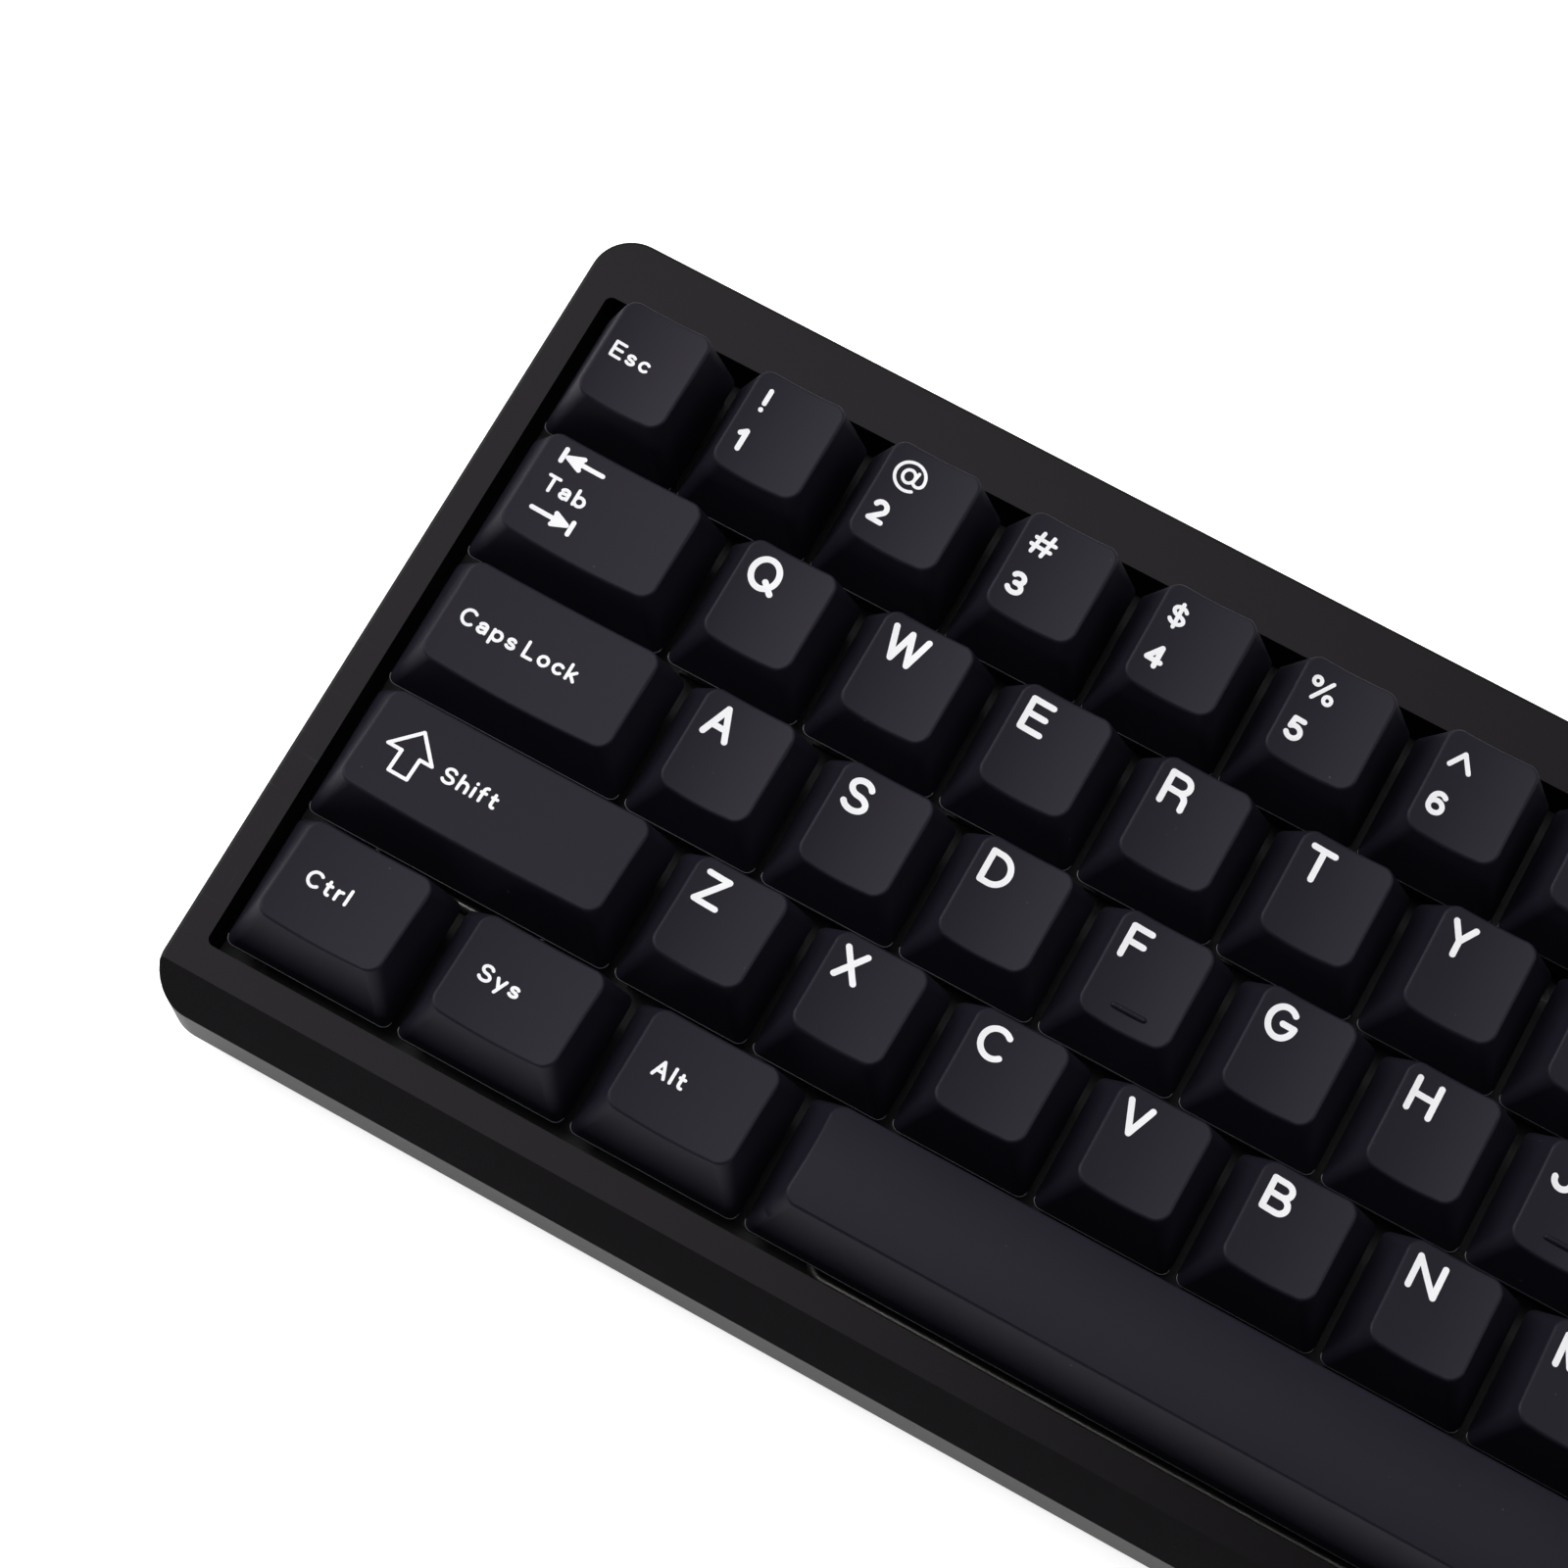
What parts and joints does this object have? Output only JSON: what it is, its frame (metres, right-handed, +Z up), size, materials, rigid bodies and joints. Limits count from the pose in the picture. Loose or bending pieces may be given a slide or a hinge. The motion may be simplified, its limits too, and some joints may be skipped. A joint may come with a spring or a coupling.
{
  "type": "mechanical keyboard",
  "caption": "Compact mechanical keyboard: sculpted caps on sprung switches, stabilised wide keys, steel plate, circuit board and a two-piece wedge case on rubber feet",
  "frame": {"origin": "centre of the bounding box, on the plane that the feet stand on", "axes": "+X to the typist's right, +Y away from the typist, +Z up"},
  "size_m": [0.2958, 0.1152, 0.0375],
  "materials": {
    "case_shell": "satin black, fine sprayed grain",
    "keycap": "matte black, fine moulded grain",
    "plate": "black powder coat",
    "board": "black solder mask over glass laminate",
    "socket": "plain pressed steel",
    "screw": "blackened steel",
    "foot": "soft black rubber",
    "switch_housing": "black moulded nylon",
    "switch_hood": "smoke grey moulded plastic",
    "spring": "drawn spring wire",
    "stabiliser": "black moulded acetal",
    "wire": "drawn steel wire"
  },
  "bodies": {
    "case": {"bottom_case": "case_shell", "circuit_board": "board", "rubber_feet": "foot", "screws": "screw", "stabiliser_housings": "stabiliser", "switch_bottoms": "switch_housing", "switch_plate": "plate", "switch_springs": "spring", "switch_tops": "switch_hood", "top_case": "case_shell", "usb_socket": "socket"},
    "key_1_body": {"key_1": "keycap"},
    "key_2_body": {"key_2": "keycap"},
    "key_3_body": {"key_3": "keycap"},
    "key_4_body": {"key_4": "keycap"},
    "key_5_body": {"key_5": "keycap"},
    "key_6_body": {"key_6": "keycap"},
    "key_a_body": {"key_a": "keycap"},
    "key_b_body": {"key_b": "keycap"},
    "key_backspace_body": {"key_backspace": "keycap"},
    "key_c_body": {"key_c": "keycap"},
    "key_caps_lock_body": {"key_caps_lock": "keycap"},
    "key_d_body": {"key_d": "keycap"},
    "key_e_body": {"key_e": "keycap"},
    "key_enter_body": {"key_enter": "keycap"},
    "key_esc_body": {"key_esc": "keycap"},
    "key_f_body": {"key_f": "keycap"},
    "key_g_body": {"key_g": "keycap"},
    "key_h_body": {"key_h": "keycap"},
    "key_j_body": {"key_j": "keycap"},
    "key_left_alt_body": {"key_left_alt": "keycap"},
    "key_left_ctrl_body": {"key_left_ctrl": "keycap"},
    "key_left_shift_body": {"key_left_shift": "keycap"},
    "key_left_system_body": {"key_left_system": "keycap"},
    "key_m_body": {"key_m": "keycap"},
    "key_n_body": {"key_n": "keycap"},
    "key_q_body": {"key_q": "keycap"},
    "key_r_body": {"key_r": "keycap"},
    "key_right_shift_body": {"key_right_shift": "keycap"},
    "key_s_body": {"key_s": "keycap"},
    "key_space_body": {"key_space": "keycap"},
    "key_t_body": {"key_t": "keycap"},
    "key_tab_body": {"key_tab": "keycap"},
    "key_v_body": {"key_v": "keycap"},
    "key_w_body": {"key_w": "keycap"},
    "key_x_body": {"key_x": "keycap"},
    "key_y_body": {"key_y": "keycap"},
    "key_z_body": {"key_z": "keycap"},
    "keys_0_minus_equal_body": {"keys_0_minus_equal": "keycap"},
    "keys_7_8_9_body": {"keys_7_8_9": "keycap"},
    "keys_brackets_backslash_body": {"keys_brackets_backslash": "keycap"},
    "keys_comma_dot_slash_body": {"keys_comma_dot_slash": "keycap"},
    "keys_k_l_semicolon_quote_body": {"keys_k_l_semicolon_quote": "keycap"},
    "keys_right_modifiers_body": {"keys_right_modifiers": "keycap"},
    "keys_u_i_o_p_body": {"keys_u_i_o_p": "keycap"},
    "left_shift_wire_body": {"left_shift_wire": "wire"},
    "space_wire_body": {"space_wire": "wire"},
    "backspace_wire_body": {"backspace_wire": "wire"},
    "enter_wire_body": {"enter_wire": "wire"},
    "right_shift_wire_body": {"right_shift_wire": "wire"}
  },
  "joints": [
    {"name": "key_1_press", "type": "slide", "parent": "case", "child": "key_1_body", "axis": [0, 0.1045, -0.9945], "range_m": [0, 0.004], "stiffness_N_per_m": 100, "springref_m": -0.003, "deforming": ["switch_springs"]},
    {"name": "key_2_press", "type": "slide", "parent": "case", "child": "key_2_body", "axis": [0, 0.1045, -0.9945], "range_m": [0, 0.004], "stiffness_N_per_m": 100, "springref_m": -0.003, "deforming": ["switch_springs"]},
    {"name": "key_3_press", "type": "slide", "parent": "case", "child": "key_3_body", "axis": [0, 0.1045, -0.9945], "range_m": [0, 0.004], "stiffness_N_per_m": 100, "springref_m": -0.003, "deforming": ["switch_springs"]},
    {"name": "key_4_press", "type": "slide", "parent": "case", "child": "key_4_body", "axis": [0, 0.1045, -0.9945], "range_m": [0, 0.004], "stiffness_N_per_m": 100, "springref_m": -0.003, "deforming": ["switch_springs"]},
    {"name": "key_5_press", "type": "slide", "parent": "case", "child": "key_5_body", "axis": [0, 0.1045, -0.9945], "range_m": [0, 0.004], "stiffness_N_per_m": 100, "springref_m": -0.003, "deforming": ["switch_springs"]},
    {"name": "key_6_press", "type": "slide", "parent": "case", "child": "key_6_body", "axis": [0, 0.1045, -0.9945], "range_m": [0, 0.004], "stiffness_N_per_m": 100, "springref_m": -0.003, "deforming": ["switch_springs"]},
    {"name": "key_a_press", "type": "slide", "parent": "case", "child": "key_a_body", "axis": [0, 0.1045, -0.9945], "range_m": [0, 0.004], "stiffness_N_per_m": 100, "springref_m": -0.003, "deforming": ["switch_springs"]},
    {"name": "key_b_press", "type": "slide", "parent": "case", "child": "key_b_body", "axis": [0, 0.1045, -0.9945], "range_m": [0, 0.004], "stiffness_N_per_m": 100, "springref_m": -0.003, "deforming": ["switch_springs"]},
    {"name": "key_backspace_press", "type": "slide", "parent": "case", "child": "key_backspace_body", "axis": [0, 0.1045, -0.9945], "range_m": [0, 0.004], "stiffness_N_per_m": 100, "springref_m": -0.003, "deforming": ["switch_springs"]},
    {"name": "key_c_press", "type": "slide", "parent": "case", "child": "key_c_body", "axis": [0, 0.1045, -0.9945], "range_m": [0, 0.004], "stiffness_N_per_m": 100, "springref_m": -0.003, "deforming": ["switch_springs"]},
    {"name": "key_caps_lock_press", "type": "slide", "parent": "case", "child": "key_caps_lock_body", "axis": [0, 0.1045, -0.9945], "range_m": [0, 0.004], "stiffness_N_per_m": 100, "springref_m": -0.003, "deforming": ["switch_springs"]},
    {"name": "key_d_press", "type": "slide", "parent": "case", "child": "key_d_body", "axis": [0, 0.1045, -0.9945], "range_m": [0, 0.004], "stiffness_N_per_m": 100, "springref_m": -0.003, "deforming": ["switch_springs"]},
    {"name": "key_e_press", "type": "slide", "parent": "case", "child": "key_e_body", "axis": [0, 0.1045, -0.9945], "range_m": [0, 0.004], "stiffness_N_per_m": 100, "springref_m": -0.003, "deforming": ["switch_springs"]},
    {"name": "key_enter_press", "type": "slide", "parent": "case", "child": "key_enter_body", "axis": [0, 0.1045, -0.9945], "range_m": [0, 0.004], "stiffness_N_per_m": 100, "springref_m": -0.003, "deforming": ["switch_springs"]},
    {"name": "key_esc_press", "type": "slide", "parent": "case", "child": "key_esc_body", "axis": [0, 0.1045, -0.9945], "range_m": [0, 0.004], "stiffness_N_per_m": 100, "springref_m": -0.003, "deforming": ["switch_springs"]},
    {"name": "key_f_press", "type": "slide", "parent": "case", "child": "key_f_body", "axis": [0, 0.1045, -0.9945], "range_m": [0, 0.004], "stiffness_N_per_m": 100, "springref_m": -0.003, "deforming": ["switch_springs"]},
    {"name": "key_g_press", "type": "slide", "parent": "case", "child": "key_g_body", "axis": [0, 0.1045, -0.9945], "range_m": [0, 0.004], "stiffness_N_per_m": 100, "springref_m": -0.003, "deforming": ["switch_springs"]},
    {"name": "key_h_press", "type": "slide", "parent": "case", "child": "key_h_body", "axis": [0, 0.1045, -0.9945], "range_m": [0, 0.004], "stiffness_N_per_m": 100, "springref_m": -0.003, "deforming": ["switch_springs"]},
    {"name": "key_j_press", "type": "slide", "parent": "case", "child": "key_j_body", "axis": [0, 0.1045, -0.9945], "range_m": [0, 0.004], "stiffness_N_per_m": 100, "springref_m": -0.003, "deforming": ["switch_springs"]},
    {"name": "key_left_alt_press", "type": "slide", "parent": "case", "child": "key_left_alt_body", "axis": [0, 0.1045, -0.9945], "range_m": [0, 0.004], "stiffness_N_per_m": 100, "springref_m": -0.003, "deforming": ["switch_springs"]},
    {"name": "key_left_ctrl_press", "type": "slide", "parent": "case", "child": "key_left_ctrl_body", "axis": [0, 0.1045, -0.9945], "range_m": [0, 0.004], "stiffness_N_per_m": 100, "springref_m": -0.003, "deforming": ["switch_springs"]},
    {"name": "key_left_shift_press", "type": "slide", "parent": "case", "child": "key_left_shift_body", "axis": [0, 0.1045, -0.9945], "range_m": [0, 0.004], "stiffness_N_per_m": 100, "springref_m": -0.003, "deforming": ["switch_springs"]},
    {"name": "key_left_system_press", "type": "slide", "parent": "case", "child": "key_left_system_body", "axis": [0, 0.1045, -0.9945], "range_m": [0, 0.004], "stiffness_N_per_m": 100, "springref_m": -0.003, "deforming": ["switch_springs"]},
    {"name": "key_m_press", "type": "slide", "parent": "case", "child": "key_m_body", "axis": [0, 0.1045, -0.9945], "range_m": [0, 0.004], "stiffness_N_per_m": 100, "springref_m": -0.003, "deforming": ["switch_springs"]},
    {"name": "key_n_press", "type": "slide", "parent": "case", "child": "key_n_body", "axis": [0, 0.1045, -0.9945], "range_m": [0, 0.004], "stiffness_N_per_m": 100, "springref_m": -0.003, "deforming": ["switch_springs"]},
    {"name": "key_q_press", "type": "slide", "parent": "case", "child": "key_q_body", "axis": [0, 0.1045, -0.9945], "range_m": [0, 0.004], "stiffness_N_per_m": 100, "springref_m": -0.003, "deforming": ["switch_springs"]},
    {"name": "key_r_press", "type": "slide", "parent": "case", "child": "key_r_body", "axis": [0, 0.1045, -0.9945], "range_m": [0, 0.004], "stiffness_N_per_m": 100, "springref_m": -0.003, "deforming": ["switch_springs"]},
    {"name": "key_right_shift_press", "type": "slide", "parent": "case", "child": "key_right_shift_body", "axis": [0, 0.1045, -0.9945], "range_m": [0, 0.004], "stiffness_N_per_m": 100, "springref_m": -0.003, "deforming": ["switch_springs"]},
    {"name": "key_s_press", "type": "slide", "parent": "case", "child": "key_s_body", "axis": [0, 0.1045, -0.9945], "range_m": [0, 0.004], "stiffness_N_per_m": 100, "springref_m": -0.003, "deforming": ["switch_springs"]},
    {"name": "key_space_press", "type": "slide", "parent": "case", "child": "key_space_body", "axis": [0, 0.1045, -0.9945], "range_m": [0, 0.004], "stiffness_N_per_m": 100, "springref_m": -0.003, "deforming": ["switch_springs"]},
    {"name": "key_t_press", "type": "slide", "parent": "case", "child": "key_t_body", "axis": [0, 0.1045, -0.9945], "range_m": [0, 0.004], "stiffness_N_per_m": 100, "springref_m": -0.003, "deforming": ["switch_springs"]},
    {"name": "key_tab_press", "type": "slide", "parent": "case", "child": "key_tab_body", "axis": [0, 0.1045, -0.9945], "range_m": [0, 0.004], "stiffness_N_per_m": 100, "springref_m": -0.003, "deforming": ["switch_springs"]},
    {"name": "key_v_press", "type": "slide", "parent": "case", "child": "key_v_body", "axis": [0, 0.1045, -0.9945], "range_m": [0, 0.004], "stiffness_N_per_m": 100, "springref_m": -0.003, "deforming": ["switch_springs"]},
    {"name": "key_w_press", "type": "slide", "parent": "case", "child": "key_w_body", "axis": [0, 0.1045, -0.9945], "range_m": [0, 0.004], "stiffness_N_per_m": 100, "springref_m": -0.003, "deforming": ["switch_springs"]},
    {"name": "key_x_press", "type": "slide", "parent": "case", "child": "key_x_body", "axis": [0, 0.1045, -0.9945], "range_m": [0, 0.004], "stiffness_N_per_m": 100, "springref_m": -0.003, "deforming": ["switch_springs"]},
    {"name": "key_y_press", "type": "slide", "parent": "case", "child": "key_y_body", "axis": [0, 0.1045, -0.9945], "range_m": [0, 0.004], "stiffness_N_per_m": 100, "springref_m": -0.003, "deforming": ["switch_springs"]},
    {"name": "key_z_press", "type": "slide", "parent": "case", "child": "key_z_body", "axis": [0, 0.1045, -0.9945], "range_m": [0, 0.004], "stiffness_N_per_m": 100, "springref_m": -0.003, "deforming": ["switch_springs"]},
    {"name": "keys_0_minus_equal_press", "type": "slide", "parent": "case", "child": "keys_0_minus_equal_body", "axis": [0, 0.1045, -0.9945], "range_m": [0, 0.004], "stiffness_N_per_m": 300, "springref_m": -0.003, "deforming": ["switch_springs"]},
    {"name": "keys_7_8_9_press", "type": "slide", "parent": "case", "child": "keys_7_8_9_body", "axis": [0, 0.1045, -0.9945], "range_m": [0, 0.004], "stiffness_N_per_m": 300, "springref_m": -0.003, "deforming": ["switch_springs"]},
    {"name": "keys_brackets_backslash_press", "type": "slide", "parent": "case", "child": "keys_brackets_backslash_body", "axis": [0, 0.1045, -0.9945], "range_m": [0, 0.004], "stiffness_N_per_m": 300, "springref_m": -0.003, "deforming": ["switch_springs"]},
    {"name": "keys_comma_dot_slash_press", "type": "slide", "parent": "case", "child": "keys_comma_dot_slash_body", "axis": [0, 0.1045, -0.9945], "range_m": [0, 0.004], "stiffness_N_per_m": 300, "springref_m": -0.003, "deforming": ["switch_springs"]},
    {"name": "keys_k_l_semicolon_quote_press", "type": "slide", "parent": "case", "child": "keys_k_l_semicolon_quote_body", "axis": [0, 0.1045, -0.9945], "range_m": [0, 0.004], "stiffness_N_per_m": 400, "springref_m": -0.003, "deforming": ["switch_springs"]},
    {"name": "keys_right_modifiers_press", "type": "slide", "parent": "case", "child": "keys_right_modifiers_body", "axis": [0, 0.1045, -0.9945], "range_m": [0, 0.004], "stiffness_N_per_m": 400, "springref_m": -0.003, "deforming": ["switch_springs"]},
    {"name": "keys_u_i_o_p_press", "type": "slide", "parent": "case", "child": "keys_u_i_o_p_body", "axis": [0, 0.1045, -0.9945], "range_m": [0, 0.004], "stiffness_N_per_m": 400, "springref_m": -0.003, "deforming": ["switch_springs"]},
    {"name": "left_shift_wire_turn", "type": "hinge", "parent": "case", "child": "left_shift_wire_body", "pos_m": [-0.12144, -0.02846, 0.01494], "axis": [-1, 0, 0], "range_deg": [0, 28.6]},
    {"name": "space_wire_turn", "type": "hinge", "parent": "case", "child": "space_wire_body", "pos_m": [-0.01191, -0.04741, 0.01295], "axis": [-1, 0, 0], "range_deg": [0, 28.6]},
    {"name": "backspace_wire_turn", "type": "hinge", "parent": "case", "child": "backspace_wire_body", "pos_m": [0.12383, 0.02838, 0.02092], "axis": [-1, 0, 0], "range_deg": [0, 28.6]},
    {"name": "enter_wire_turn", "type": "hinge", "parent": "case", "child": "enter_wire_body", "pos_m": [0.12144, -0.00952, 0.01694], "axis": [-1, 0, 0], "range_deg": [0, 28.6]},
    {"name": "right_shift_wire_turn", "type": "hinge", "parent": "case", "child": "right_shift_wire_body", "pos_m": [0.11668, -0.02846, 0.01494], "axis": [-1, 0, 0], "range_deg": [0, 28.6]}
  ],
  "couplings": [
    {"joint": "left_shift_wire_turn", "follows": "key_left_shift_press", "rad_per_m": 124.75},
    {"joint": "space_wire_turn", "follows": "key_space_press", "rad_per_m": 124.75},
    {"joint": "backspace_wire_turn", "follows": "key_backspace_press", "rad_per_m": 124.75},
    {"joint": "enter_wire_turn", "follows": "key_enter_press", "rad_per_m": 124.75},
    {"joint": "right_shift_wire_turn", "follows": "key_right_shift_press", "rad_per_m": 124.75}
  ]
}
